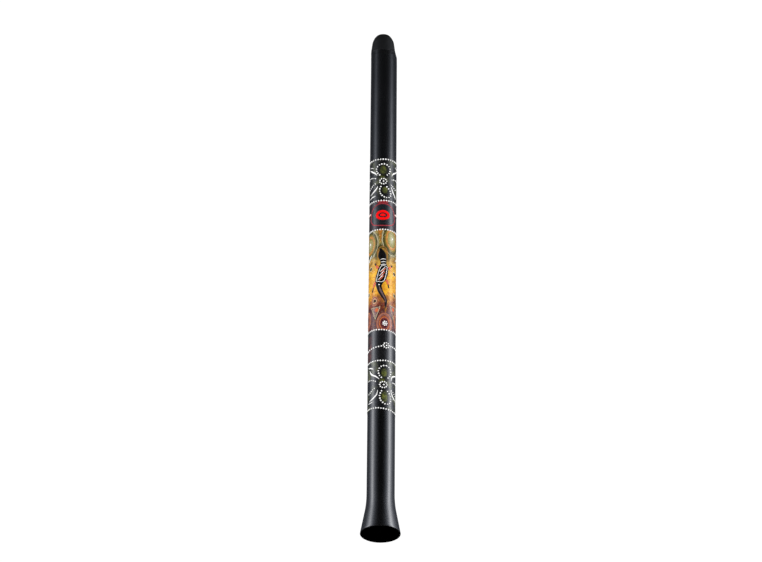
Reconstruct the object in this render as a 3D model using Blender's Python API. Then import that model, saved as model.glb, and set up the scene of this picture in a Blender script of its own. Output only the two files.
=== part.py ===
"""Didgeridoo: a heat-formed pipe with a flared bell, a push-fit mouthpiece and painted bands.

Metres, +Z up. The origin is the centre of the bell's open mouth, +Z runs along the pipe to the
mouthpiece, and the painted front faces -Y. Every piece is turned about the pipe's axis. Only the
outside of the neck and of the mouthpiece drifts a little to one side of it.
"""

import math

import bmesh
import bpy

# Driving dimensions
LENGTH = 1.300
SEGMENTS = 48
FIT_GAP = 0.0003

# Pipe: outer radii, wall and the slow taper from the flare up to the neck
BELL_RADIUS = 0.0471
FLARE_ANGLE = math.radians(10.5)
FLARE_BLEND_RADIUS = 0.250
LOW_RADIUS = 0.0326
HIGH_RADIUS = 0.0305
WALL = 0.0030
RIM_ROUNDING = 0.0008

# Neck: the pipe narrows in a cone and ends in a thin spigot that the mouthpiece is pushed over
NECK_START = 1.242
NECK_ANGLE = math.radians(7.5)
SEAM_HEIGHT = 1.2505
SPIGOT_RADIUS = 0.0222
SPIGOT_WALL = 0.0026
SPIGOT_TOP = 1.272
NECK_BORE_START = 1.222
NECK_BORE_TOP = 1.250

# The drift of the outside towards -X: where it begins, where it is complete, and how far it goes
DRIFT_START = 1.237
DRIFT_END = 1.262
DRIFT = -0.0022

# Mouthpiece: a soft cap with a drawn-in rounded lip around the blow hole
LIP_CREST_RADIUS = 0.0136
LIP_HEIGHT = 0.0222
LIP_FULLNESS = 1.47
BLOW_HOLE_RADIUS = 0.0122
BLOW_HOLE_ROUNDING = 0.0024
FUNNEL_TOP = 1.288
FUNNEL_LEDGE = 0.002
SKIRT_CHAMFER = 0.0006

# Painted bands and the raised rings of dots between them, as heights up the pipe
RING_HEIGHTS = {
    "dot_ring_top": 0.958,
    "dot_ring_over_badge": 0.849,
    "dot_ring_over_painting": 0.773,
    "dot_ring_under_painting": 0.511,
    "dot_ring_with_flower": 0.4675,
    "dot_ring_over_lower_motif": 0.431,
    "dot_ring_bottom": 0.3075,
}
PAINT_THICKNESS = 0.0003
DOT_WIDTH = 0.0032
DOT_RISE = 0.0009

# name: (lower ring, upper ring, colour, roughness)
BANDS = {
    "upper_motif_band": ("dot_ring_over_badge", "dot_ring_top", (0.045, 0.050, 0.030), 0.40),
    "badge_band": ("dot_ring_over_painting", "dot_ring_over_badge", (0.025, 0.027, 0.032), 0.40),
    "painting_band": ("dot_ring_under_painting", "dot_ring_over_painting", (0.52, 0.24, 0.03), 0.42),
    "plain_band": ("dot_ring_over_lower_motif", "dot_ring_under_painting", (0.022, 0.022, 0.026), 0.38),
    "lower_motif_band": ("dot_ring_bottom", "dot_ring_over_lower_motif", (0.045, 0.050, 0.030), 0.40),
}


def smooth_step(value):
    value = min(max(value, 0.0), 1.0)
    return value * value * (3.0 - 2.0 * value)


def drift(height):
    """How far the outside's centre lies from the pipe's axis, along X."""
    return DRIFT * smooth_step((height - DRIFT_START) / (DRIFT_END - DRIFT_START))


def arc_points(centre, radius_across, radius_up, start_deg, end_deg, steps):
    """(radius, height) points on an ellipse arc, both ends included."""
    points = []
    for step in range(steps + 1):
        angle = math.radians(start_deg + (end_deg - start_deg) * step / steps)
        across = centre[0] + radius_across * math.cos(angle)
        up = centre[1] + radius_up * math.sin(angle)
        points.append((across, up))
    return points


def lip_points(steps):
    """(radius, height) points from the cap's cone up over the lip to its crest. The curve is a
    quarter of a superellipse, a little leaner than an ellipse."""
    foot = LENGTH - LIP_HEIGHT
    reach = neck_radius(foot) - LIP_CREST_RADIUS
    points = []
    for step in range(steps + 1):
        angle = math.pi / 2.0 * step / steps
        across = max(math.cos(angle), 0.0) ** (2.0 / LIP_FULLNESS)
        up = math.sin(angle) ** (2.0 / LIP_FULLNESS)
        points.append((LIP_CREST_RADIUS + reach * across, foot + LIP_HEIGHT * up))
    return points


def flare_corner():
    """Height at which the bell's cone would meet the pipe's straight side."""
    return (BELL_RADIUS - LOW_RADIUS) / math.tan(FLARE_ANGLE)


def flare_top():
    return flare_corner() + FLARE_BLEND_RADIUS * math.tan(FLARE_ANGLE / 2.0)


def pipe_radius(height):
    """Outer radius of the pipe between the flare and the neck."""
    share = (height - flare_top()) / (NECK_START - flare_top())
    return LOW_RADIUS + (HIGH_RADIUS - LOW_RADIUS) * share


def neck_radius(height):
    """Outer radius of the cone that runs through the neck and on over the mouthpiece."""
    return HIGH_RADIUS - (height - NECK_START) * math.tan(NECK_ANGLE)


def flare_outline(inset):
    """The bell's side from the pipe down to the mouth: a blend arc and a cone, inset by the wall."""
    steps = 6
    reach = FLARE_BLEND_RADIUS * math.tan(FLARE_ANGLE / 2.0)
    centre_radius = LOW_RADIUS + FLARE_BLEND_RADIUS
    centre_height = flare_corner() + reach
    points = []
    for step in range(steps + 1):
        angle = FLARE_ANGLE * step / steps
        radius = centre_radius - FLARE_BLEND_RADIUS * math.cos(angle)
        height = centre_height - FLARE_BLEND_RADIUS * math.sin(angle)
        points.append((radius - inset, height))
    return points


def turned_solid(name, outside, inside, colour, roughness):
    """One closed solid from the (radius, height) points once around its section: the outside's
    points, which drift, and then the rest, which stay on the pipe's axis."""
    mesh = bpy.data.meshes.new(name)
    work = bmesh.new()
    rings = []
    outline = [(radius, height, drift(height)) for radius, height in outside]
    outline += [(radius, height, 0.0) for radius, height in inside]
    for radius, height, centre in outline:
        ring = []
        for index in range(SEGMENTS):
            angle = 2.0 * math.pi * index / SEGMENTS
            across = centre + radius * math.cos(angle)
            ring.append(work.verts.new((across, radius * math.sin(angle), height)))
        rings.append(ring)
    for ring, following in zip(rings, rings[1:] + rings[:1]):
        for index in range(SEGMENTS):
            beside = (index + 1) % SEGMENTS
            work.faces.new((ring[index], ring[beside], following[beside], following[index]))
    bmesh.ops.recalc_face_normals(work, faces=work.faces)
    work.to_mesh(mesh)
    work.free()
    mesh.shade_smooth()
    mesh.set_sharp_from_angle(angle=math.radians(35))
    piece = bpy.data.objects.new(name, mesh)
    piece.data.materials.append(plain_material(name, colour, roughness))
    bpy.context.scene.collection.objects.link(piece)
    return piece


def plain_material(name, colour, roughness):
    material = bpy.data.materials.new(name)
    material.use_nodes = True
    shader = material.node_tree.nodes["Principled BSDF"]
    shader.inputs["Base Color"].default_value = (*colour, 1.0)
    shader.inputs["Roughness"].default_value = roughness
    shader.inputs["Metallic"].default_value = 0.0
    return material


def add_pipe():
    """The resonator in one piece: spigot, neck, tapering tube and bell, open from end to end."""
    bore_radius = SPIGOT_RADIUS - SPIGOT_WALL
    outer = []
    for step in range(4):
        height = SEAM_HEIGHT + (NECK_START - SEAM_HEIGHT) * step / 3
        outer.append((neck_radius(height), height))
    outer += flare_outline(0.0)
    outer += arc_points((BELL_RADIUS - RIM_ROUNDING, RIM_ROUNDING), RIM_ROUNDING, RIM_ROUNDING, 0, -90, 3)

    bell_inner = BELL_RADIUS - WALL
    inner = [(bell_inner + RIM_ROUNDING, 0.0), (bell_inner, RIM_ROUNDING)]
    inner += list(reversed(flare_outline(WALL)))
    wide_bore = pipe_radius(NECK_BORE_START) - WALL
    for step in range(7):
        share = step / 6
        radius = wide_bore + (bore_radius - wide_bore) * smooth_step(share)
        inner.append((radius, NECK_BORE_START + (NECK_BORE_TOP - NECK_BORE_START) * share))
    inner += [
        (bore_radius, SPIGOT_TOP),
        (SPIGOT_RADIUS - RIM_ROUNDING, SPIGOT_TOP),
        (SPIGOT_RADIUS, SPIGOT_TOP - RIM_ROUNDING),
        (SPIGOT_RADIUS, SEAM_HEIGHT),
    ]
    turned_solid("pipe", outer, inner, (0.012, 0.012, 0.014), 0.30)


def add_mouthpiece():
    """The soft cap: a skirt around the spigot, a shoulder on its end and a rounded lip."""
    bore_radius = SPIGOT_RADIUS - SPIGOT_WALL
    socket_radius = SPIGOT_RADIUS + FIT_GAP
    socket_top = SPIGOT_TOP + FIT_GAP
    skirt_foot = SEAM_HEIGHT + FIT_GAP
    hole_reach = LIP_CREST_RADIUS - BLOW_HOLE_RADIUS
    outside = [
        (neck_radius(skirt_foot) - SKIRT_CHAMFER, skirt_foot),
        (neck_radius(skirt_foot + SKIRT_CHAMFER), skirt_foot + SKIRT_CHAMFER),
    ]
    outside += lip_points(10)
    hole_centre = (LIP_CREST_RADIUS, LENGTH - BLOW_HOLE_ROUNDING)
    outside += arc_points(hole_centre, hole_reach, BLOW_HOLE_ROUNDING, 90, 180, 4)[1:]
    outside.append((BLOW_HOLE_RADIUS, FUNNEL_TOP))
    inside = [
        (bore_radius, socket_top + FUNNEL_LEDGE),
        (bore_radius, socket_top),
        (socket_radius, socket_top),
        (socket_radius, skirt_foot),
    ]
    turned_solid("mouthpiece", outside, inside, (0.020, 0.021, 0.022), 0.62)


def add_band(name, low, high, colour, roughness):
    """A thin skin of paint that wraps the pipe from one ring of dots to the next."""
    low += FIT_GAP / 2.0
    high -= FIT_GAP / 2.0
    inner = [(pipe_radius(height) + FIT_GAP, height) for height in (low, high)]
    outer = [(radius + PAINT_THICKNESS, height) for radius, height in reversed(inner)]
    turned_solid(name, outer, inner, colour, roughness)


def add_dot_ring(name, height):
    """The low bead of thick white paint that a ring of dots makes around the pipe."""
    foot = pipe_radius(height) + 2.0 * FIT_GAP + PAINT_THICKNESS
    half = DOT_WIDTH / 2.0
    outside = arc_points((foot, height), DOT_RISE, half, 60, -60, 2)
    inside = [(foot, height - half), (foot, height + half)]
    turned_solid(name, outside, inside, (0.80, 0.80, 0.78), 0.45)


def clear_scene():
    for piece in list(bpy.data.objects):
        bpy.data.objects.remove(piece)


def main():
    clear_scene()
    add_pipe()
    add_mouthpiece()
    for name, (lower, upper, colour, roughness) in BANDS.items():
        add_band(name, RING_HEIGHTS[lower], RING_HEIGHTS[upper], colour, roughness)
    for name, height in RING_HEIGHTS.items():
        add_dot_ring(name, height)


main()
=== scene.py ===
"""Didgeridoo: finished surfaces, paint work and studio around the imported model.

The art is laid out on the pipe's unrolled surface, in millimetres: `around` is measured along the
surface from the front line towards +X, and `height` is measured up from the bell's mouth.
"""

import math
import random

import bmesh
import bpy
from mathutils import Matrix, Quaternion, Vector


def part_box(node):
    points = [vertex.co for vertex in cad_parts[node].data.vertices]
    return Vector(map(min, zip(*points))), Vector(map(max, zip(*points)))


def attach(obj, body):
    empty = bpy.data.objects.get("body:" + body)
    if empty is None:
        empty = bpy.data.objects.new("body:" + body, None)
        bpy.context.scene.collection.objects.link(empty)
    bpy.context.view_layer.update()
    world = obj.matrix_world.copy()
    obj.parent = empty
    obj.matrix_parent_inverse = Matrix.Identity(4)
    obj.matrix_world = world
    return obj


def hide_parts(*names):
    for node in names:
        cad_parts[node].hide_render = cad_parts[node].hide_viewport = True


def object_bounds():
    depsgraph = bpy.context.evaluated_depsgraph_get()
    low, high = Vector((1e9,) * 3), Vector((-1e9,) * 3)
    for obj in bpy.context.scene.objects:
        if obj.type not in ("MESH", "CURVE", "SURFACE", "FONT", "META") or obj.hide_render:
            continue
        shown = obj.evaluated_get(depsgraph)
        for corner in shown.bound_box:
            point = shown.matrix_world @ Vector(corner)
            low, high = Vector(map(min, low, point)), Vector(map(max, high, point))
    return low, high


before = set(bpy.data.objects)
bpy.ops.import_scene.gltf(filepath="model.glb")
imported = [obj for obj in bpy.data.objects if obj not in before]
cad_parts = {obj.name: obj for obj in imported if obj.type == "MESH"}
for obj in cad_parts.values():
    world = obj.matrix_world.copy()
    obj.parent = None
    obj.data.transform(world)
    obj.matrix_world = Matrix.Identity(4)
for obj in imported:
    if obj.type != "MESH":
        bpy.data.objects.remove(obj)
cad_low, cad_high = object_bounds()

MM = 0.001

# The pipe's outline, in metres, as the CAD has it
LENGTH = cad_high.z
BELL_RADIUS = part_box("pipe")[1].y
SEAM_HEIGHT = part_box("mouthpiece")[0].z
SPIGOT_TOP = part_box("pipe")[1].z
FIT_GAP = 0.0003
FLARE_ANGLE = math.radians(10.5)
FLARE_BLEND_RADIUS = 0.25
LOW_RADIUS = 0.0326
HIGH_RADIUS = 0.0305
WALL = 0.003
RIM_ROUNDING = 0.0008
NECK_START = 1.242
NECK_ANGLE = math.radians(7.5)
NECK_STEPS = (1.248, 1.2455)
SHOULDER_REACH = 0.012
SHOULDER_RISE = 0.008
SHOULDER_DROP = 0.0008
SPIGOT_RADIUS = 0.0222
SPIGOT_WALL = 0.0026
NECK_BORE_START = 1.222
NECK_BORE_TOP = 1.25
DRIFT_START = 1.237
DRIFT_END = 1.262
DRIFT = -0.0022
LIP_CREST_RADIUS = 0.0136
LIP_HEIGHT = 0.0222
LIP_FULLNESS = 1.47
BLOW_HOLE_RADIUS = 0.0122
BLOW_HOLE_ROUNDING = 0.0024
FUNNEL_TOP = 1.288
FUNNEL_LEDGE = 0.002
SKIRT_ROUNDING = 0.0007
SEGMENTS = 160

# Paint, in millimetres: its film over the pipe, the gap under it and the dabs of the rings
FILM = 0.35
FILM_GAP = 0.02
WRAP_RADIUS = 32.0
DAB = 1.9
DAB_SIDES = 12
FINE_DOT = (0.35, 0.15)  # rise and shake of the painting's small dots


def ring_height(node):
    """The height of a CAD dot ring, in millimetres."""
    low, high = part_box(node)
    return (low.z + high.z) / 2 / MM


RING_TOP = ring_height("dot_ring_top")
RING_OVER_BADGE = ring_height("dot_ring_over_badge")
RING_OVER_PAINTING = ring_height("dot_ring_over_painting")
RING_UNDER_PAINTING = ring_height("dot_ring_under_painting")
RING_WITH_FLOWER = ring_height("dot_ring_with_flower")
RING_OVER_LOWER = ring_height("dot_ring_over_lower_motif")
RING_BOTTOM = ring_height("dot_ring_bottom")


# ---------------------------------------------------------------- the pipe's outline


def smooth_step(value):
    value = min(max(value, 0.0), 1.0)
    return value * value * (3.0 - 2.0 * value)


def drift(height):
    return DRIFT * smooth_step((height - DRIFT_START) / (DRIFT_END - DRIFT_START))


def flare_corner():
    return (BELL_RADIUS - LOW_RADIUS) / math.tan(FLARE_ANGLE)


def flare_top():
    return flare_corner() + FLARE_BLEND_RADIUS * math.tan(FLARE_ANGLE / 2.0)


def pipe_radius(height):
    share = (height - flare_top()) / (NECK_START - flare_top())
    return LOW_RADIUS + (HIGH_RADIUS - LOW_RADIUS) * share


def neck_radius(height):
    return HIGH_RADIUS - (height - NECK_START) * math.tan(NECK_ANGLE)


def arc_points(centre, radius_across, radius_up, start_deg, end_deg, steps):
    points = []
    for step in range(steps + 1):
        angle = math.radians(start_deg + (end_deg - start_deg) * step / steps)
        across = centre[0] + radius_across * math.cos(angle)
        points.append((across, centre[1] + radius_up * math.sin(angle)))
    return points


def lip_points(steps):
    """The cap's outline over the lip: a quarter of a superellipse, a little leaner than an ellipse."""
    foot = LENGTH - LIP_HEIGHT
    reach = neck_radius(foot) - LIP_CREST_RADIUS
    points = []
    for step in range(steps + 1):
        angle = math.pi / 2.0 * step / steps
        across = max(math.cos(angle), 0.0) ** (2.0 / LIP_FULLNESS)
        up = math.sin(angle) ** (2.0 / LIP_FULLNESS)
        points.append((LIP_CREST_RADIUS + reach * across, foot + LIP_HEIGHT * up))
    return points


def flare_outline(inset, steps=18):
    """The bell's side from the pipe down to the mouth's cone: an arc that ends in the cone's slope."""
    centre_height = flare_top()
    points = []
    for step in range(steps + 1):
        angle = FLARE_ANGLE * step / steps
        radius = LOW_RADIUS + FLARE_BLEND_RADIUS * (1.0 - math.cos(angle))
        points.append((radius - inset, centre_height - FLARE_BLEND_RADIUS * math.sin(angle)))
    return points


def run_between(start, end, steps):
    """Points between two (radius, height) points, both left out."""
    points = []
    for step in range(1, steps):
        share = step / steps
        points.append(tuple(a + (b - a) * share for a, b in zip(start, end)))
    return points


# ---------------------------------------------------------------- turned pieces


def new_piece(name, mesh, body, slot, *replaced):
    """Links a mesh as a piece of the object, riding on a CAD body."""
    piece = bpy.data.objects.new(name, mesh)
    bpy.context.scene.collection.objects.link(piece)
    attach(piece, body)
    if replaced:
        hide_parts(*replaced)


def turned_mesh(name, outside, inside, sharp_deg=35):
    """One closed mesh, turned from the (radius, height) points once around its section."""
    outline = [(radius, height, drift(height)) for radius, height in outside]
    outline += [(radius, height, 0.0) for radius, height in inside]
    work = bmesh.new()
    rings = []
    for radius, height, centre in outline:
        ring = []
        for index in range(SEGMENTS):
            angle = 2.0 * math.pi * index / SEGMENTS
            across = centre + radius * math.cos(angle)
            ring.append(work.verts.new((across, radius * math.sin(angle), height)))
        rings.append(ring)
    for ring, following in zip(rings, rings[1:] + rings[:1]):
        for index in range(SEGMENTS):
            beside = (index + 1) % SEGMENTS
            work.faces.new((ring[index], ring[beside], following[beside], following[index]))
    bmesh.ops.recalc_face_normals(work, faces=work.faces)
    mesh = bpy.data.meshes.new(name)
    work.to_mesh(mesh)
    work.free()
    mesh.shade_smooth()
    mesh.set_sharp_from_angle(angle=math.radians(sharp_deg))
    return mesh


def make_pipe():
    bore = SPIGOT_RADIUS - SPIGOT_WALL
    neck = [(neck_radius(height), height) for height in (SEAM_HEIGHT - FIT_GAP, *NECK_STEPS)]
    shoulder_centre = (HIGH_RADIUS - SHOULDER_REACH, NECK_START - SHOULDER_DROP)
    shoulder = arc_points(shoulder_centre, SHOULDER_REACH, SHOULDER_RISE, 15, 0, 5)
    outside = neck + shoulder
    flare = flare_outline(0.0)
    outside += run_between(outside[-1], flare[0], 60)
    outside += flare
    outside += run_between(flare[-1], (BELL_RADIUS, RIM_ROUNDING), 12)
    outside += arc_points((BELL_RADIUS - RIM_ROUNDING, RIM_ROUNDING), RIM_ROUNDING, RIM_ROUNDING, 0, -90, 6)
    mouth = BELL_RADIUS - WALL
    inside = arc_points((mouth + RIM_ROUNDING, RIM_ROUNDING), RIM_ROUNDING, RIM_ROUNDING, 270, 180, 6)
    inside += list(reversed(flare_outline(WALL)))
    wide = pipe_radius(NECK_BORE_START) - WALL
    inside += run_between(inside[-1], (wide, NECK_BORE_START), 30)
    for step in range(13):
        share = step / 12
        height = NECK_BORE_START + (NECK_BORE_TOP - NECK_BORE_START) * share
        inside.append((wide + (bore - wide) * smooth_step(share), height))
    inside += [(bore, SPIGOT_TOP)]
    spigot_corner = (SPIGOT_RADIUS - RIM_ROUNDING, SPIGOT_TOP - RIM_ROUNDING)
    inside += arc_points(spigot_corner, RIM_ROUNDING, RIM_ROUNDING, 90, 0, 4)
    inside.append((SPIGOT_RADIUS, SEAM_HEIGHT - FIT_GAP))
    mesh = turned_mesh("pipe_shell", outside, inside)
    mesh.materials.append(black_lacquer())
    mesh.materials.append(raw_plastic())
    for face in mesh.polygons:
        middle = face.center
        inward = face.normal.x * middle.x + face.normal.y * middle.y < 0.0
        if inward or face.normal.z < -0.7:
            face.material_index = 1
    new_piece("pipe_shell", mesh, "pipe", "black_lacquer", "pipe")


def make_mouthpiece():
    bore = SPIGOT_RADIUS - SPIGOT_WALL
    socket = SPIGOT_RADIUS + FIT_GAP
    socket_top = SPIGOT_TOP + FIT_GAP
    lip = lip_points(28)
    hole_reach = LIP_CREST_RADIUS - BLOW_HOLE_RADIUS
    skirt_centre = (neck_radius(SEAM_HEIGHT) - SKIRT_ROUNDING, SEAM_HEIGHT + SKIRT_ROUNDING)
    outside = arc_points(skirt_centre, SKIRT_ROUNDING, SKIRT_ROUNDING, -90, 0, 4)
    outside += run_between(outside[-1], lip[0], 10)
    outside += lip
    hole_centre = (LIP_CREST_RADIUS, LENGTH - BLOW_HOLE_ROUNDING)
    outside += arc_points(hole_centre, hole_reach, BLOW_HOLE_ROUNDING, 90, 180, 10)[1:]
    outside.append((BLOW_HOLE_RADIUS, FUNNEL_TOP))
    inside = [
        (bore, socket_top + FUNNEL_LEDGE),
        (bore, socket_top),
        (socket, socket_top),
        (socket, SEAM_HEIGHT),
    ]
    mesh = turned_mesh("mouthpiece_cap", outside, inside)
    mesh.materials.append(cap_rubber())
    new_piece("mouthpiece_cap", mesh, "mouthpiece", "mouthpiece_rubber", "mouthpiece")


def make_band(name, low, high, material, slot, replaced):
    """The paint between two rings: a closed skin close on the pipe."""
    low, high = (low + FILM_GAP) * MM, (high - FILM_GAP) * MM
    bottom = (pipe_radius(low) + FILM_GAP * MM, low)
    top = (pipe_radius(high) + FILM_GAP * MM, high)
    inside = [bottom] + run_between(bottom, top, 12) + [top]
    thickness = (FILM - FILM_GAP) * MM
    outside = [(radius + thickness, height) for radius, height in reversed(inside)]
    mesh = turned_mesh(name, outside, inside)
    mesh.materials.append(material)
    new_piece(name, mesh, "pipe", slot, replaced)


# ---------------------------------------------------------------- paint laid on the pipe


def on_pipe(around, height, lift):
    """The point over the pipe's unrolled surface, from millimetres to the frame's metres."""
    angle = around / WRAP_RADIUS
    radius = pipe_radius(height * MM) + lift * MM
    return (radius * math.sin(angle), -radius * math.cos(angle), height * MM)


class Relief:
    """Thick paint: closed dabs and strips that share one mesh."""

    def __init__(self, name, material, slot, seed):
        self.name = name
        self.material = material
        self.slot = slot
        self.points = []
        self.faces = []
        self.hand = random.Random(seed)

    def dab(self, around, height, radius, rise, shake):
        """A round dab with a domed top; shake is how uneven the hand that laid it was."""
        around += self.hand.uniform(-shake, shake)
        height += self.hand.uniform(-shake, shake)
        radius *= 1.0 + self.hand.uniform(-shake, shake) * 0.6
        rise *= 1.0 + self.hand.uniform(-shake, shake)
        stretch = 1.0 + self.hand.uniform(-shake, shake) * 0.5
        dome = ((1.0, 0.12), (0.88, 0.52), (0.62, 0.84), (0.3, 0.98))
        levels = [(1.0, -0.1)] + [(share, lift * rise) for share, lift in dome]
        first = len(self.points)
        for share, lift in levels:
            for side in range(DAB_SIDES):
                turn = 2.0 * math.pi * side / DAB_SIDES
                across = radius * share * math.cos(turn) * stretch
                up = radius * share * math.sin(turn) / stretch
                self.points.append(on_pipe(around + across, height + up, FILM + lift))
        top = len(self.points)
        self.points.append(on_pipe(around, height, FILM + rise))
        self.faces.append(tuple(first + side for side in reversed(range(DAB_SIDES))))
        for level in range(len(levels) - 1):
            row = first + level * DAB_SIDES
            for side in range(DAB_SIDES):
                beside = (side + 1) % DAB_SIDES
                above = row + DAB_SIDES
                self.faces.append((row + side, row + beside, above + beside, above + side))
        row = first + (len(levels) - 1) * DAB_SIDES
        for side in range(DAB_SIDES):
            self.faces.append((row + side, row + (side + 1) % DAB_SIDES, top))

    def strip(self, line, half_widths, rise, closed=False, crown=2.0, columns=6, base=0.0):
        """A strip of paint along a line of (around, height) points, with a half width at each."""
        count = len(line)
        section = columns + 3
        first = len(self.points)
        for index, (around, height) in enumerate(line):
            before = line[(index - 1) % count] if closed or index > 0 else line[index]
            after = line[(index + 1) % count] if closed or index < count - 1 else line[index]
            run, climb = after[0] - before[0], after[1] - before[1]
            length = math.hypot(run, climb) or 1.0
            side = (-climb / length, run / length)
            half = half_widths[index]
            for column in range(columns + 1):
                share = 1.0 - 2.0 * column / columns
                lift = base + rise * (1.0 - abs(share) ** crown) ** (1.0 / crown)
                place = (around + side[0] * half * share, height + side[1] * half * share)
                self.points.append(on_pipe(*place, FILM + lift))
            for share in (-1.0, 1.0):
                place = (around + side[0] * half * share, height + side[1] * half * share)
                self.points.append(on_pipe(*place, FILM + base - 0.12))
        pairs = count if closed else count - 1
        for index in range(pairs):
            here = first + index * section
            there = first + ((index + 1) % count) * section
            for column in range(section):
                beside = (column + 1) % section
                self.faces.append((here + column, here + beside, there + beside, there + column))
        if not closed:
            self.faces.append(tuple(first + column for column in reversed(range(section))))
            last = first + (count - 1) * section
            self.faces.append(tuple(last + column for column in range(section)))

    def stroke(self, corners, widths, rise, **how):
        """A brush stroke through a few points, with its full width at each of them."""
        line, halves = smooth_line(corners, [width / 2 for width in widths])
        self.strip(line, halves, rise, **how)

    def loop(self, corners, width, rise, **how):
        """A closed line of even width through a few points."""
        line, _ = smooth_line(corners, [0.0] * len(corners), closed=True)
        self.strip(line, [width / 2] * len(line), rise, closed=True, **how)

    def oval(self, around, height, radius_around, radius_up, rise):
        """A filled oval, laid as one strip up its middle."""
        steps = 20
        line, halves = [], []
        for step in range(steps + 1):
            turn = math.pi * step / steps
            line.append((around, height - radius_up * math.cos(turn) * 0.999))
            halves.append(max(radius_around * math.sin(turn), 0.05))
        self.strip(line, halves, rise, crown=5.0, columns=10)

    def dabs_along(self, line, spacing, radius, rise, shake, closed=False):
        """Dabs at even steps along a line of points."""
        for around, height in even_points(line, spacing, closed):
            self.dab(around, height, radius, rise, shake)

    def finish(self, *replaced):
        """Turns what has been laid into a piece on the pipe, in place of the CAD nodes named."""
        mesh = bpy.data.meshes.new(self.name)
        mesh.from_pydata(self.points, [], self.faces)
        work = bmesh.new()
        work.from_mesh(mesh)
        bmesh.ops.recalc_face_normals(work, faces=work.faces)
        work.to_mesh(mesh)
        work.free()
        mesh.shade_smooth()
        mesh.set_sharp_from_angle(angle=math.radians(60))
        mesh.materials.append(self.material)
        new_piece(self.name, mesh, "pipe", self.slot, *replaced)


def smooth_line(corners, values, closed=False, step=0.8):
    """A Catmull-Rom curve through the corners, about a step apart, with a value carried along it."""
    count = len(corners)
    spans = count if closed else count - 1
    line, carried = [], []

    def at(items, index):
        return items[index % count] if closed else items[min(max(index, 0), count - 1)]

    def curve(p, q, r, s, t):
        value = 2 * q + (r - p) * t + (2 * p - 5 * q + 4 * r - s) * t * t
        return 0.5 * (value + (3 * q - p - 3 * r + s) * t ** 3)

    for span in range(spans):
        around = [at(corners, span + offset) for offset in (-1, 0, 1, 2)]
        carry = [at(values, span + offset) for offset in (-1, 0, 1, 2)]
        length = math.dist(around[1], around[2])
        pieces = max(2, round(length / step))
        for piece in range(pieces):
            t = piece / pieces
            line.append(tuple(curve(*(point[axis] for point in around), t) for axis in (0, 1)))
            carried.append(max(curve(*carry, t), 0.02))
    if not closed:
        line.append(corners[-1])
        carried.append(max(values[-1], 0.02))
    return line, carried


def even_points(line, spacing, closed=False):
    """Points at even steps along a line."""
    if closed:
        line = line + [line[0]]
    lengths = [0.0]
    for start, end in zip(line, line[1:]):
        lengths.append(lengths[-1] + math.dist(start, end))
    count = max(1, round(lengths[-1] / spacing))
    found = []
    index = 0
    for step in range(count if closed else count + 1):
        target = lengths[-1] * step / count
        while index < len(line) - 2 and lengths[index + 1] < target:
            index += 1
        span = lengths[index + 1] - lengths[index] or 1.0
        share = (target - lengths[index]) / span
        start, end = line[index], line[index + 1]
        found.append((start[0] + (end[0] - start[0]) * share, start[1] + (end[1] - start[1]) * share))
    return found


def oval_line(around, height, radius_around, radius_up, start_deg=0, end_deg=360, steps=48):
    """Points on an oval; a full turn leaves its last point out, so that it can be closed."""
    turn = end_deg - start_deg
    last = steps if abs(turn) < 360 else steps - 1
    points = []
    for step in range(last + 1):
        angle = math.radians(start_deg + turn * step / steps)
        points.append((around + radius_around * math.cos(angle), height + radius_up * math.sin(angle)))
    return points


# ---------------------------------------------------------------- materials

BADGE_MIDDLE = 811.0
PLAIN_TOUCHES = ((-34.0, 488.0), (-36.0, 446.0), (61.0, 452.0), (84.0, 492.0))


class Nodes:
    """The small steps that paints and lights are built from. Every step returns an output socket."""

    fade = "SMOOTHSTEP"

    def __init__(self, tree):
        self.tree = tree

    def node(self, kind, **properties):
        node = self.tree.nodes.new(kind)
        for name, value in properties.items():
            setattr(node, name, value)
        return node

    def feed(self, socket, value):
        """A socket takes a number, a colour or another socket."""
        if isinstance(value, bpy.types.NodeSocket):
            self.tree.links.new(value, socket)
        elif isinstance(value, tuple) and len(value) == 3 and socket.type == "RGBA":
            socket.default_value = (*value, 1.0)
        else:
            socket.default_value = value

    def calc(self, operation, *values):
        node = self.node("ShaderNodeMath", operation=operation)
        for socket, value in zip(node.inputs, values):
            self.feed(socket, value)
        return node.outputs[0]

    def range(self, value, low, high, low_to=0.0, high_to=1.0):
        """A ramp from low_to to high_to as the value goes from low to high."""
        node = self.node("ShaderNodeMapRange", interpolation_type=self.fade)
        names = ("Value", "From Min", "From Max", "To Min", "To Max")
        for name, number in zip(names, (value, low, high, low_to, high_to)):
            self.feed(node.inputs[name], number)
        return node.outputs[0]

    def blend(self, amount, first, second):
        node = self.node("ShaderNodeMix", data_type="RGBA")
        self.feed(node.inputs[0], amount)
        self.feed(node.inputs[6], first)
        self.feed(node.inputs[7], second)
        return node.outputs[2]

    def split(self, output):
        """The three parts of a texture coordinate."""
        split = self.node("ShaderNodeSeparateXYZ")
        self.feed(split.inputs[0], self.node("ShaderNodeTexCoord").outputs[output])
        return split.outputs


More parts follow.
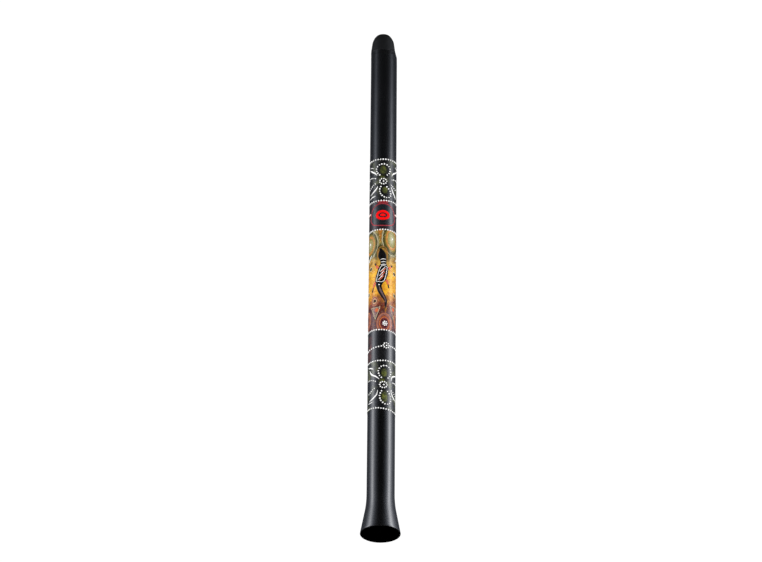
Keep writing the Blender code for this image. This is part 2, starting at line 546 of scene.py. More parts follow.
class Paint(Nodes):
    """One Principled material, with the steps that patterns on the pipe need."""

    def __init__(self, name, **settings):
        self.material = bpy.data.materials.new(name)
        self.material.use_nodes = True
        super().__init__(self.material.node_tree)
        self.shader = self.tree.nodes["Principled BSDF"]
        for socket, value in settings.items():
            self.shader.inputs[socket.replace("_", " ")].default_value = value
        self.place = self.node("ShaderNodeTexCoord").outputs["Object"]
        along, deep, up = self.split("Object")
        self.angle = self.calc("ARCTAN2", along, self.calc("MULTIPLY", deep, -1.0))
        self.height = self.calc("MULTIPLY", up, 1.0 / MM)

    def noise(self, scale, detail=2.0, roughness=0.5, stretch=(1.0, 1.0, 1.0)):
        """Noise over the object's own space; scale counts features in a metre."""
        node = self.node("ShaderNodeTexNoise")
        spread = self.node("ShaderNodeMapping")
        self.feed(spread.inputs["Vector"], self.place)
        spread.inputs["Scale"].default_value = stretch
        self.feed(node.inputs["Vector"], spread.outputs[0])
        node.inputs["Scale"].default_value = scale
        node.inputs["Detail"].default_value = detail
        node.inputs["Roughness"].default_value = roughness
        return node.outputs["Fac"]

    def specks(self, scale, size):
        """1 inside small round specks, one to a cell, and 0 between them."""
        node = self.node("ShaderNodeTexVoronoi")
        self.feed(node.inputs["Vector"], self.place)
        node.inputs["Scale"].default_value = scale
        return self.range(node.outputs["Distance"], size * 1.2, size * 0.8)

    def ramp(self, value, *stops):
        """A colour ramp: (place, colour) stops."""
        node = self.node("ShaderNodeValToRGB")
        self.feed(node.inputs[0], value)
        elements = node.color_ramp.elements
        while len(elements) < len(stops):
            elements.new(0.5)
        for element, (place, colour) in zip(elements, stops):
            element.position = place
            element.color = (*colour, 1.0)
        return node.outputs[0]

    def oval(self, around, height, radius_around, radius_up, wobble=None):
        """0 at the middle of an oval on the pipe and 1 on its edge."""
        across = self.calc("DIVIDE", self.across(around), radius_around)
        up = self.calc("DIVIDE", self.calc("SUBTRACT", self.height, height), radius_up)
        pair = self.node("ShaderNodeCombineXYZ")
        self.feed(pair.inputs[0], across)
        self.feed(pair.inputs[1], up)
        length = self.node("ShaderNodeVectorMath", operation="LENGTH")
        self.feed(length.inputs[0], pair.outputs[0])
        distance = length.outputs["Value"]
        return self.calc("ADD", distance, wobble) if wobble is not None else distance

    def across(self, around):
        """Signed distance round the pipe from a place on it, in millimetres."""
        turn = self.calc("WRAP", self.calc("SUBTRACT", self.angle, around / WRAP_RADIUS), math.pi, -math.pi)
        return self.calc("MULTIPLY", turn, WRAP_RADIUS)

    def bumps(self, *layers):
        """Stacks (height socket, distance in metres) layers into the shader's normal."""
        normal = None
        for value, distance in layers:
            node = self.node("ShaderNodeBump")
            node.inputs["Strength"].default_value = 1.0
            node.inputs["Distance"].default_value = distance
            self.feed(node.inputs["Height"], value)
            if normal is not None:
                self.feed(node.inputs["Normal"], normal)
            normal = node.outputs[0]
        self.feed(self.shader.inputs["Normal"], normal)

    def colour(self, value):
        self.feed(self.shader.inputs["Base Color"], value)

    def rough(self, value):
        self.feed(self.shader.inputs["Roughness"], value)


def black_lacquer():
    """Sprayed black lacquer: faint orange peel, slow waves in the formed plastic, rubbed patches."""
    paint = Paint("black_lacquer", IOR=1.5)
    waves = paint.noise(16, 2, 0.5, (1.0, 1.0, 0.35))
    peel = paint.noise(900, 1, 0.4)
    rubbed = paint.noise(24, 4, 0.6, (1.0, 1.0, 0.4))
    dust = paint.specks(420, 0.1)
    base = paint.blend(rubbed, (0.0003, 0.0003, 0.0004), (0.001, 0.001, 0.0013))
    paint.colour(paint.blend(paint.calc("MULTIPLY", dust, 0.03), base, (0.05, 0.05, 0.052)))
    paint.rough(paint.range(rubbed, 0.25, 0.8, 0.22, 0.3))
    paint.bumps((waves, 0.0008), (peel, 0.000006))
    return paint.material


def raw_plastic():
    """The unpainted bore: dull, with lengthwise drawing marks."""
    paint = Paint("raw_plastic", IOR=1.3)
    marks = paint.noise(260, 3, 0.6, (1.0, 1.0, 0.02))
    paint.colour(paint.blend(marks, (0.001, 0.001, 0.001), (0.003, 0.003, 0.0032)))
    paint.rough(paint.range(marks, 0.2, 0.8, 0.75, 0.92))
    paint.bumps((marks, 0.0002))
    return paint.material


def cap_rubber():
    """Matte moulded rubber, smoother and darker where lips rest on it."""
    paint = Paint("cap_rubber", IOR=1.38)
    grain = paint.noise(1500, 2, 0.6)
    bloom = paint.noise(60, 4, 0.6)
    worn = paint.range(paint.height, 1284.0, 1298.0)
    base = paint.blend(bloom, (0.001, 0.0011, 0.0013), (0.0026, 0.0028, 0.0031))
    paint.colour(paint.blend(paint.calc("MULTIPLY", worn, 0.6), base, (0.0008, 0.0008, 0.0009)))
    dull = paint.range(bloom, 0.2, 0.8, 0.5, 0.62)
    paint.rough(paint.calc("SUBTRACT", dull, paint.calc("MULTIPLY", worn, 0.1)))
    paint.bumps((bloom, 0.0001), (grain, 0.00003))
    return paint.material


def varnish(paint):
    """The satin varnish over the painted bands, with brush marks running round the pipe."""
    marks = paint.noise(150, 3, 0.6, (1.0, 1.0, 6.0))
    waves = paint.noise(16, 2, 0.5, (1.0, 1.0, 0.35))
    paint.rough(paint.range(marks, 0.25, 0.75, 0.26, 0.36))
    paint.bumps((waves, 0.001), (marks, 0.00005))


def motif_paint(name, centres, middle, petals):
    """Black ground with mottled olive in the petals, round the flowers and between the motifs."""
    paint = Paint(name, IOR=1.5)
    mottle = paint.noise(120, 5, 0.7)
    wobble = paint.calc("MULTIPLY", paint.calc("SUBTRACT", mottle, 0.5), 1.0)
    olive = paint.ramp(
        mottle,
        (0.36, (0.014, 0.017, 0.004)),
        (0.48, (0.05, 0.06, 0.006)),
        (0.6, (0.11, 0.125, 0.006)),
        (0.7, (0.165, 0.165, 0.01)),
    )
    ground = paint.blend(paint.noise(40, 3, 0.6), (0.001, 0.001, 0.0013), (0.004, 0.0042, 0.005))
    patches = paint.range(paint.noise(38, 3, 0.55), 0.46, 0.66)
    wash = paint.blend(mottle, (0.006, 0.008, 0.003), (0.11, 0.118, 0.05))
    colour = paint.blend(patches, ground, wash)
    for centre in centres:
        for shift, up, radius_around, radius_up in petals:
            hull = paint.oval(centre + shift, middle + up, radius_around * 2.0, radius_up * 1.75)
            colour = paint.blend(paint.range(hull, 1.15, 0.85), colour, (0.0012, 0.0012, 0.0014))
        for shift, up, radius_around, radius_up in petals:
            patch = paint.oval(centre + shift, middle + up, radius_around, radius_up, wobble)
            colour = paint.blend(paint.range(patch, 1.15, 0.45), colour, olive)
        stem = paint.oval(centre - 2.5, middle + 11.5, 7.5, 5.5, wobble)
        colour = paint.blend(paint.range(stem, 1.2, 0.4, 0.0, 0.8), colour, olive)
        eye = paint.oval(centre, middle, 6.5, 5.2)
        colour = paint.blend(paint.range(eye, 1.1, 0.95), colour, (0.0008, 0.0008, 0.001))
    paint.colour(colour)
    varnish(paint)
    return paint.material


def badge_paint():
    """Slate black, with a slightly redder ground outside the badge."""
    paint = Paint("badge_paint", IOR=1.5)
    mottle = paint.noise(60, 4, 0.6)
    slate = paint.blend(mottle, (0.0026, 0.005, 0.0075), (0.0065, 0.012, 0.017))
    warm = paint.blend(mottle, (0.004, 0.0024, 0.0036), (0.019, 0.005, 0.0075))
    outside = paint.range(paint.oval(0.0, BADGE_MIDDLE, 33.0, 29.5), 0.96, 1.06)
    above = paint.range(paint.height, RING_OVER_BADGE - 9.0, RING_OVER_BADGE - 4.0, 0.0, 0.85)
    near = paint.range(paint.oval(0.0, BADGE_MIDDLE + 33.0, 14.0, 13.0), 1.1, 0.7)
    colour = paint.blend(outside, slate, warm)
    paint.colour(paint.blend(paint.calc("MULTIPLY", above, near), colour, (0.3, 0.003, 0.008)))
    varnish(paint)
    return paint.material


def plain_paint():
    """The plain black band, with a few faint brown touches."""
    paint = Paint("plain_paint", IOR=1.5)
    mottle = paint.noise(55, 4, 0.6)
    ground = paint.blend(mottle, (0.0018, 0.0018, 0.0023), (0.006, 0.0052, 0.0066))
    touches = paint.range(paint.noise(28, 2, 0.5, (1.0, 1.0, 0.6)), 0.52, 0.7)
    for around, height in PLAIN_TOUCHES:
        touch = paint.range(paint.oval(around, height, 15.0, 17.0), 1.0, 0.3)
        touches = paint.calc("MAXIMUM", touches, touch)
    amount = paint.calc("MULTIPLY", touches, paint.range(mottle, 0.3, 0.6))
    paint.colour(paint.blend(amount, ground, (0.07, 0.018, 0.015)))
    varnish(paint)
    return paint.material


# The painting's shapes, in millimetres. Lobes and hills: around, height and two radii
LOBES = (
    (24.5, 750, 24, 40),
    (-36, 738, 24, 35),
    (72, 742, 23, 36),
    (-84, 747, 23, 38),
)
HILLS = (
    (6, 528, 19, 27),
    (45, 545, 13.5, 24),
    (-43, 543, 13.5, 23),
    (88, 530, 21, 25),
    (-84, 531, 20, 24),
)
# Dark spots, plain and with a halo: around and height
SPOTS = (
    (-31.6, 674.5), (33, 663), (34.4, 607.6), (-41, 611), (68, 640), (88, 684),
    (96, 600), (-74, 655), (-66, 598), (60, 697), (-92, 690), (-55, 640),
)
HALO_SPOTS = ((-18.4, 587.4), (58, 588), (-97, 618))
# Kites: around, lower and upper height, half the width at the top, and their core's place
KITES = (
    (-16, 540, 571, 11.5, -13, 563),
    (30, 543, 577, 11, 30, 569),
    (-62, 545, 574, 11, -61, 565),
    (69, 544, 574, 11, 69, 565),
)
# Wedges: around, lower and upper height, and half the width at the top
WEDGES = (
    (-4, 731, 778, 7.5),
    (48, 741, 776, 6),
    (-60, 735, 776, 7),
    (96, 738, 776, 8),
    (8, 548, 572, 3.5),
)
# The glow behind the lizard's head and the arc of dots in it: around, height and two radii
GLOW = (0, 705, 19, 29)
HEAD_ARC = (0, 708, 13, 20.5)
ROSETTE = (7, 528)

# Nested colours of the painting's ovals, from the middle out
LOBE_BANDS = (
    (0.0, (0.64, 0.62, 0.46)),
    (0.16, (0.42, 0.4, 0.2)),
    (0.32, (0.29, 0.265, 0.06)),
    (0.42, (0.27, 0.22, 0.03)),
    (0.47, (0.72, 0.29, 0.08)),
    (0.52, (0.5, 0.22, 0.015)),
    (0.6, (0.24, 0.18, 0.015)),
    (0.7, (0.048, 0.044, 0.002)),
    (0.79, (0.08, 0.074, 0.012)),
    (0.84, (0.34, 0.31, 0.19)),
    (0.93, (0.2, 0.185, 0.08)),
)
GLOW_BANDS = (
    (0.0, (0.2, 0.12, 0.015)),
    (0.42, (0.26, 0.15, 0.015)),
    (0.5, (0.46, 0.2, 0.015)),
    (0.56, (0.11, 0.085, 0.004)),
    (0.82, (0.052, 0.048, 0.002)),
)
HILL_BANDS = (
    (0.0, (0.045, 0.001, 0.004)),
    (0.36, (0.09, 0.004, 0.012)),
    (0.46, (0.17, 0.03, 0.04)),
    (0.53, (0.42, 0.085, 0.025)),
    (0.61, (0.33, 0.06, 0.012)),
    (0.7, (0.09, 0.01, 0.008)),
    (0.8, (0.44, 0.17, 0.12)),
    (0.88, (0.22, 0.075, 0.07)),
)
HALO_BANDS = (
    (0.0, (0.6, 0.25, 0.12)),
    (0.45, (0.56, 0.18, 0.05)),
    (0.75, (0.27, 0.09, 0.06)),
    (1.0, (0.2, 0.08, 0.08)),
)


def painting_ground(paint):
    """Olive at the top, amber in the middle and red-brown below, broken up by dark and pale dabs."""
    drifting = paint.noise(22, 4, 0.6)
    mottle = paint.noise(110, 5, 0.7)
    span = RING_OVER_PAINTING - RING_UNDER_PAINTING
    level = paint.calc("DIVIDE", paint.calc("SUBTRACT", paint.height, RING_UNDER_PAINTING), span)
    level = paint.calc("ADD", level, paint.calc("MULTIPLY", paint.calc("SUBTRACT", drifting, 0.5), 0.3))
    deep = paint.ramp(
        level,
        (0.0, (0.026, 0.004, 0.008)),
        (0.18, (0.03, 0.004, 0.007)),
        (0.26, (0.075, 0.009, 0.004)),
        (0.33, (0.5, 0.18, 0.001)),
        (0.58, (0.5, 0.2, 0.001)),
        (0.72, (0.19, 0.085, 0.004)),
        (0.82, (0.062, 0.052, 0.004)),
        (1.0, (0.075, 0.055, 0.004)),
    )
    bright = paint.ramp(
        level,
        (0.0, (0.085, 0.014, 0.015)),
        (0.18, (0.09, 0.01, 0.009)),
        (0.26, (0.26, 0.045, 0.007)),
        (0.33, (0.78, 0.38, 0.001)),
        (0.58, (0.8, 0.43, 0.001)),
        (0.72, (0.48, 0.28, 0.04)),
        (0.82, (0.26, 0.205, 0.045)),
        (1.0, (0.26, 0.18, 0.04)),
    )
    colour = paint.blend(paint.range(mottle, 0.36, 0.62), deep, bright)
    patches = paint.range(paint.noise(46, 3, 0.6), 0.5, 0.62)
    mauve = paint.calc("MULTIPLY", patches, paint.range(level, 0.3, 0.2))
    colour = paint.blend(paint.calc("MULTIPLY", mauve, 0.6), colour, (0.12, 0.055, 0.065))
    colour = paint.blend(paint.calc("MULTIPLY", paint.specks(310, 0.22), 0.45), colour, (0.15, 0.055, 0.004))
    thick = paint.range(level, 0.2, 0.36, 0.15, 0.55)
    return paint.blend(paint.calc("MULTIPLY", paint.specks(270, 0.2), thick), colour, (0.86, 0.62, 0.12))


class Picture:
    """The painting's colours, laid over its ground one shape at a time and broken up by grain."""

    def __init__(self):
        self.paint = Paint("painting_paint", IOR=1.36)
        mottle = self.paint.noise(160, 4, 0.7)
        self.wobble = self.paint.calc("MULTIPLY", self.paint.calc("SUBTRACT", mottle, 0.5), 0.22)
        self.colour = painting_ground(self.paint)
        worn = self.paint.range(mottle, 0.35, 0.65)
        self.grain = self.paint.blend(worn, (0.3, 0.27, 0.2), (1.0, 1.0, 1.0))

    def lay(self, mask, above, amount=0.55):
        """Puts a colour over what is there, through a mask."""
        broken = self.paint.node("ShaderNodeMix", data_type="RGBA", blend_type="MULTIPLY")
        broken.inputs[0].default_value = amount
        self.paint.feed(broken.inputs[6], above)
        self.paint.feed(broken.inputs[7], self.grain)
        self.colour = self.paint.blend(mask, self.colour, broken.outputs[2])

    def bands(self, places, scale, fade, stops, within=None):
        """Lays ovals of nested colours. fade is where an oval's edge begins and is complete."""
        for place in places:
            distance = self.paint.oval(*place, self.wobble)
            rings = self.paint.ramp(self.paint.calc("MULTIPLY", distance, scale), *stops)
            mask = self.paint.range(distance, *fade)
            if within is not None:
                mask = self.paint.calc("MULTIPLY", mask, within)
            self.lay(mask, rings)

    def wedge(self, around, low, high, half):
        """How far up a wedge a place is, from 0 to 1, and how far outside it, in millimetres."""
        paint = self.paint
        share = paint.range(paint.height, low, high)
        away = paint.calc("ABSOLUTE", paint.across(around))
        beside = paint.calc("SUBTRACT", away, paint.calc("MULTIPLY", share, half))
        return share, paint.calc("MAXIMUM", beside, paint.calc("SUBTRACT", paint.height, high))


def painting_paint():
    """The ground, and over it wedges, banded lobes, a glow, hills, haloed spots and kites."""
    picture = Picture()
    paint = picture.paint
    for place in WEDGES:
        share, beyond = picture.wedge(*place)
        mask = paint.calc("MULTIPLY", paint.range(beyond, 0.4, -0.9), paint.range(share, 0.0, 0.1))
        picture.lay(mask, (0.42, 0.15, 0.002), 0.6)
    picture.bands(LOBES, 0.8, (1.2, 1.06), LOBE_BANDS)
    picture.bands([GLOW], 0.8, (1.1, 0.92), GLOW_BANDS, paint.range(paint.height, 686.0, 704.0))
    picture.bands(HILLS, 0.9, (1.08, 0.98), HILL_BANDS)
    picture.bands([(*spot, 9.5, 12.0) for spot in HALO_SPOTS], 1.0, (1.1, 0.85), HALO_BANDS)
    for *place, core_around, core_height in KITES:
        _, beyond = picture.wedge(*place)
        picture.lay(paint.range(beyond, 0.3, -0.7), (0.2, 0.105, 0.098), 0.6)
        core = paint.oval(core_around, core_height, 5.6, 6.0, picture.wobble)
        picture.lay(paint.range(core, 1.1, 0.55), (0.7, 0.12, 0.012))
    paint.colour(picture.colour)
    varnish(paint)
    return paint.material


def thick_paint(name, colour, shade, gloss=1.4):
    """Thick hand-laid paint: bristle marks, darker patches laid at random by noise, satin gloss."""
    paint = Paint(name, IOR=gloss)
    bristle = paint.noise(1400, 2, 0.6, (1.0, 1.0, 0.5))
    patches = paint.noise(240, 3, 0.6)
    paint.colour(paint.blend(paint.range(patches, 0.4, 0.72), colour, shade))
    paint.rough(paint.range(bristle, 0.2, 0.8, 0.32, 0.46))
    paint.bumps((patches, 0.00012), (bristle, 0.00004))
    return paint.material


# ---------------------------------------------------------------- the painted decoration


def make_rings(white):
    """The dotted rings. lean is how far a ring sinks towards the front's right side."""
    rings = (
        ("dot_ring_top", RING_TOP, 32, 0.0),
        ("dot_ring_over_badge", RING_OVER_BADGE, 32, -0.6),
        ("dot_ring_over_painting", RING_OVER_PAINTING, 32, 0.0),
        ("dot_ring_under_painting", RING_UNDER_PAINTING, 33, 1.2),
        ("dot_ring_over_lower_motif", RING_OVER_LOWER, 33, -0.3),
        ("dot_ring_bottom", RING_BOTTOM, 33, 4.0),
    )
    for seed, (node, height, count, lean) in enumerate(rings):
        relief = Relief(node + "_dabs", white, "white_dot_paint", seed + 10)
        for index in range(count):
            turn = 2.0 * math.pi * (index + 0.35 * (seed % 2)) / count - math.pi
            relief.dab(turn * WRAP_RADIUS, height - lean * math.sin(turn), DAB, 1.2, 0.2)
        relief.finish(node)


def make_flower_ring(white):
    """The ring under the painting, which runs into a small flower of dabs at the front's right."""
    relief = Relief("dot_ring_with_flower_dabs", white, "white_dot_paint", 31)
    around, height, reach = 10.7, RING_WITH_FLOWER + 3.5, 6.6
    whole = 2.0 * math.pi * WRAP_RADIUS
    count = 29
    for index in range(count):
        place = around + reach + 5.2 + (whole - 2.0 * (reach + 5.2)) * index / (count - 1)
        turn = place / WRAP_RADIUS
        wave = RING_WITH_FLOWER - 1.5 + 2.5 * math.cos(turn) + 4.0 * math.sin(turn)
        relief.dab(place, wave, DAB, 1.2, 0.2)
    for point in even_points(oval_line(around, height, reach, reach), 5.2, closed=True):
        relief.dab(*point, 1.7, 1.1, 0.18)
    relief.dab(around + 0.4, height - 0.3, 1.9, 1.1, 0.1)
    relief.finish("dot_ring_with_flower")


def petal_line(around, middle, up, half_width, low, high, lean):
    """The outline of one petal, open towards the flower. up is 1 above it and -1 below."""
    points = []
    steps = 40
    for step in range(steps + 1):
        turn = math.radians(-54.0 + 288.0 * step / steps)
        height = (low + high) / 2.0 + (high - low) / 2.0 * math.sin(turn)
        across = half_width * math.cos(turn) * (1.0 + 0.1 * math.sin(turn))
        share = (height - low) / (high - low)
        points.append((around + across + lean * share, middle + up * height))
    return points


# One motif band, in millimetres counted from its flower: the flower's height and radii, the motifs'
# places round the pipe, its petals and the olive patches in them. Each side, -1 left and 1 right,
# has its strokes, as corners with a width at each, and then its dotted lines.
UPPER_MOTIF = {
    "seed": 41,
    "middle": 900,
    "centres": (0.5, 101),
    "flower": (8.8, 7.3),
    "petals": ((1, 0.5, 17, 14, 45.5, -1), (-1, 0.8, 13.2, 11.5, 43, 8)),
    "patches": ((0, 30, 9.5, 13), (4.5, -23, 8, 10)),
    "sides": (
        (-1, (
            (((15, 15.8), (20.2, 22.2), (27.5, 27.8), (36.9, 34.6)), (0.8, 2.8, 3.8, 2.2)),
            (((24.5, 36), (31, 40), (38, 42)), (0.6, 1.6, 0.8)),
            (((14, -12.5), (15.1, -16.7), (20.2, -22.5), (27.5, -27.3), (34.8, -31.5)),
             (0.8, 2.4, 3.6, 2.6, 0.9)),
            (((18.4, -37), (26.1, -37.8), (34.3, -39.8), (38, -41)), (0.8, 2.6, 1.8, 0.8)),
        ), (
            ((19.5, 8.8), (26.5, 11.7), (36.9, 13.8), (43, 11)),
            ((20.2, -5.2), (25.1, -7.2), (31.1, -10.6), (39, -15)),
        )),
        (1, (
            (((21.5, 16), (25.6, 22.9), (32.8, 28.2), (44.5, 36.2)), (0.8, 2.8, 3.6, 1.8)),
            (((34, 43.5), (40, 42), (45, 43)), (0.7, 2, 0.8)),
            (((20, -12), (21.6, -16.1), (26.1, -25.3), (33.3, -34.3), (36, -39)),
             (0.8, 2.2, 3.2, 2.4, 0.8)),
        ), (
            ((22.6, 6.7), (29.7, 8.9), (37, 11), (44, 10)),
            ((20.5, -7.5), (26.8, -11.3), (34, -15.5)),
        )),
    ),
}
LOWER_MOTIF = {
    "seed": 45,
    "middle": 368.5,
    "centres": (4.5, 104.5),
    "flower": (9, 8.2),
    "petals": ((1, 3, 15.2, 15.5, 49.5, 0.5), (-1, 2.3, 13.2, 13, 50, 5)),
    "patches": ((2, 31, 8, 13), (3, -31, 8.5, 17)),
    "sides": (
        (-1, (
            (((24, 41.6), (32, 46.4), (40.8, 49.3)), (1.2, 3.4, 1.8)),
            (((9.4, 13.6), (13.5, 17.8), (18.7, 22.4), (26.2, 26.8), (32, 32.4), (35.5, 40.2)),
             (0.7, 2, 3.2, 3.8, 3.2, 1.2)),
            (((13.3, -14), (15.7, -24.6), (22.2, -31.5), (29.6, -36.2), (36.3, -38.6)),
             (0.8, 2.4, 3.6, 2.8, 0.9)),
            (((24.1, -42.2), (31, -42.9), (39.5, -43.6)), (0.8, 2.2, 1)),
        ), (
            ((19.2, 9.4), (25.6, 12.9), (31.3, 14.9), (42, 16)),
            ((21.6, -8.4), (27.4, -11.5), (31.3, -14.8), (39.5, -18)),
        )),
        (1, (
            (((19.4, 13), (21.9, 22.4), (28, 27.8), (39, 32.5)), (0.8, 2.8, 3.6, 2.4)),
            (((18.6, -12), (20.5, -18.5), (24.5, -25.4), (31.3, -30.7), (38, -33.5)),
             (0.7, 2.2, 3.2, 2.4, 0.9)),
            (((22, 9), (31.3, 11.5), (38, 9.5)), (1.4, 2.4, 1)),
        ), (
            ((20.5, -11.9), (27, -14.8), (35, -20)),
        )),
    ),
}


def make_motif(name, white, motif):
    """Petals, flowers and side strokes of one motif band, laid in thick white paint."""
    dots = Relief(name + "_dots", white, "white_dot_paint", motif["seed"])
    strokes = Relief(name + "_strokes", white, "white_dot_paint", motif["seed"] + 1)
    middle = motif["middle"]
    flower_around, flower_up = motif["flower"]
    for centre in motif["centres"]:
        for up, shift, half, low, high, lean in motif["petals"]:
            petal = petal_line(centre + shift, middle, up, half, low, high, lean)
            dots.dabs_along(petal, 6.3, 1.8, 1.1, 0.25)
        oval = oval_line(centre, middle, flower_around * 0.95, flower_up * 0.95)
        dots.dabs_along(oval, 5.2, 1.7, 1.1, 0.2, closed=True)
        dots.dab(centre + 0.8, middle, 2.0, 1.1, 0.1)
        for side, lines, dotted in motif["sides"]:
            for corners, widths in lines:
                place = [(centre + side * across, middle + up) for across, up in corners]
                strokes.stroke(place, widths, 0.9)
            for corners in dotted:
                place = [(centre + side * across, middle + up) for across, up in corners]
                line, _ = smooth_line(place, [0.0] * len(place))
                dots.dabs_along(line, 5.4, 1.45, 0.95, 0.22)
    dots.finish()
    strokes.finish()


def make_badge(red, bright_red, blush):
    """A red outline like a low dome, with plain nested ovals in it and dashes at its sides."""
    outline = Relief("badge_outline", red, "white_dot_paint", 51)
    right = (
        (12.2, 784.5), (24.1, 788.3), (31.5, 797.8), (32.8, 806.0),
        (30.6, 819.5), (26.1, 829.6), (13.7, 838.6),
    )
    left = [(-around, height) for around, height in reversed(right)]
    outline.loop([(0.0, 783.4)] + list(right) + [(0.0, 841.0)] + left, 2.7, 0.45, columns=4)
    outline.finish()
    emblem = Relief("badge_emblem", bright_red, "white_dot_paint", 52)
    ring = oval_line(0.0, BADGE_MIDDLE, 14.2, 9.6)
    emblem.strip(ring, [3.1] * len(ring), 0.5, closed=True, crown=4.0)
    emblem.oval(0.0, BADGE_MIDDLE, 6.6, 3.6, 0.5)
    emblem.finish()
    dashes = Relief("badge_dashes", blush, "white_dot_paint", 53)
    for side in (-1.0, 1.0):
        for near, far in ((33.5, 45.0), (50.0, 57.0), (62.0, 70.0), (78.0, 88.0)):
            heights = (818.5, 820.0, 819.0)
            line = [(side * place, height) for place, height in zip((near, (near + far) / 2, far), heights)]
            dashes.stroke(line, (2.6, 4.8, 2.2), 0.8)
    dashes.finish()


def dotted_oval(relief, oval, share, spacing, size, allowed):
    """Small dots along an oval scaled about its middle, where allowed(around, height) is true."""
    around, height, radius_around, radius_up = oval
    line = oval_line(around, height, radius_around * share, radius_up * share)
    for point in even_points(line, spacing, closed=True):
        if allowed(*point):
            relief.dab(*point, size, *FINE_DOT)


def make_painting(cream, dark, orange, white, rose):
    """The raised lines and dots over the painting's colours."""
    lines = Relief("painting_lines", cream, "white_dot_paint", 61)
    darks = Relief("painting_dark_dots", dark, "black_lacquer", 62)
    warm = Relief("painting_orange_dots", orange, "painting_paint", 63)
    whites = Relief("painting_white_marks", white, "white_dot_paint", 64)
    roses = Relief("painting_rose_dots", rose, "painting_paint", 65)
    top, bottom = RING_OVER_PAINTING - 3.0, RING_UNDER_PAINTING + 3.0

    def clear_of_head(around, height):
        return height < top and math.hypot(around, (height - HEAD_ARC[1]) / 1.5) > 14.0

    def over_ring(_, height):
        return height > bottom

    for lobe in LOBES:
        dotted_oval(lines, lobe, 1.04, 2.3, 0.85, clear_of_head)
        dotted_oval(warm, lobe, 0.6, 2.2, 0.7, clear_of_head)
        dotted_oval(lines, lobe, 0.4, 2.6, 0.55, clear_of_head)
        whites.dab(lobe[0] + 1.5, lobe[1] + 2.0, 2.2, 0.5, 0.3)
    for hill in HILLS:
        dotted_oval(warm, hill, 0.6, 2.1, 0.8, over_ring)
        dotted_oval(roses, hill, 0.78, 2.3, 0.7, over_ring)
        dotted_oval(warm, hill, 0.97, 2.4, 0.75, over_ring)
    for point in even_points(oval_line(*HEAD_ARC, 10, 170), 2.1):
        warm.dab(*point, 0.7, *FINE_DOT)
    for around, height in SPOTS:
        lines.loop(oval_line(around, height, 4.8, 5.4, steps=14), 1.3, 0.35, columns=4)
        darks.dab(around, height, 3.8, 0.5, 0.05)
    for around, height in HALO_SPOTS:
        lines.loop(oval_line(around, height, 4.7, 6.0, steps=14), 1.0, 0.35, columns=4)
        darks.dab(around, height, 3.9, 0.5, 0.05)
        for point in even_points(oval_line(around, height, 9.0, 11.5), 2.3, closed=True):
            warm.dab(*point, 0.85, *FINE_DOT)
    for around, low, high, half, _, _ in KITES:
        left, right = around - half, around + half
        corners = [(around, low), (left, high), (around, high - 2.0), (right, high), (around, low)]
        for point in even_points(corners, 2.0):
            lines.dab(*point, 0.8, 0.35, 0.12)
    whites.stroke(((-38.5, 694.0), (-35.0, 703.0), (-28.0, 709.5)), (1.0, 2.6, 1.0), 0.5)
    whites.stroke(((37.0, 697.0), (43.0, 704.0), (51.0, 707.0)), (0.8, 2.2, 1.0), 0.5)
    for point in even_points(oval_line(*ROSETTE, 4.4, 5.4), 4.3, closed=True):
        whites.dab(*point, 1.7, 0.8, 0.08)
    whites.dab(*ROSETTE, 2.0, 0.8, 0.08)
    stipple(lines, warm, roses)
    for relief in (lines, darks, warm, whites, roses):
        relief.finish()


def stipple(pale, warm, rose):
    """Loose dots all over the painting, but not on the lizard or on a spot."""
    hand = random.Random(77)
    tries = 900
    for _ in range(tries):
        around = hand.uniform(-100.0, 100.0)
        height = hand.uniform(RING_UNDER_PAINTING + 5.0, RING_OVER_PAINTING - 6.0)
        if abs(around) < 17.0 and 575.0 < height < 728.0:
            continue
        if any(math.hypot(around - place[0], height - place[1]) < 6.0 for place in SPOTS + HALO_SPOTS):
            continue
        relief = pale if height > 590.0 else rose
        if hand.random() < 0.35:
            relief = warm
        relief.dab(around, height, hand.uniform(0.4, 0.75), 0.3, 0.1)


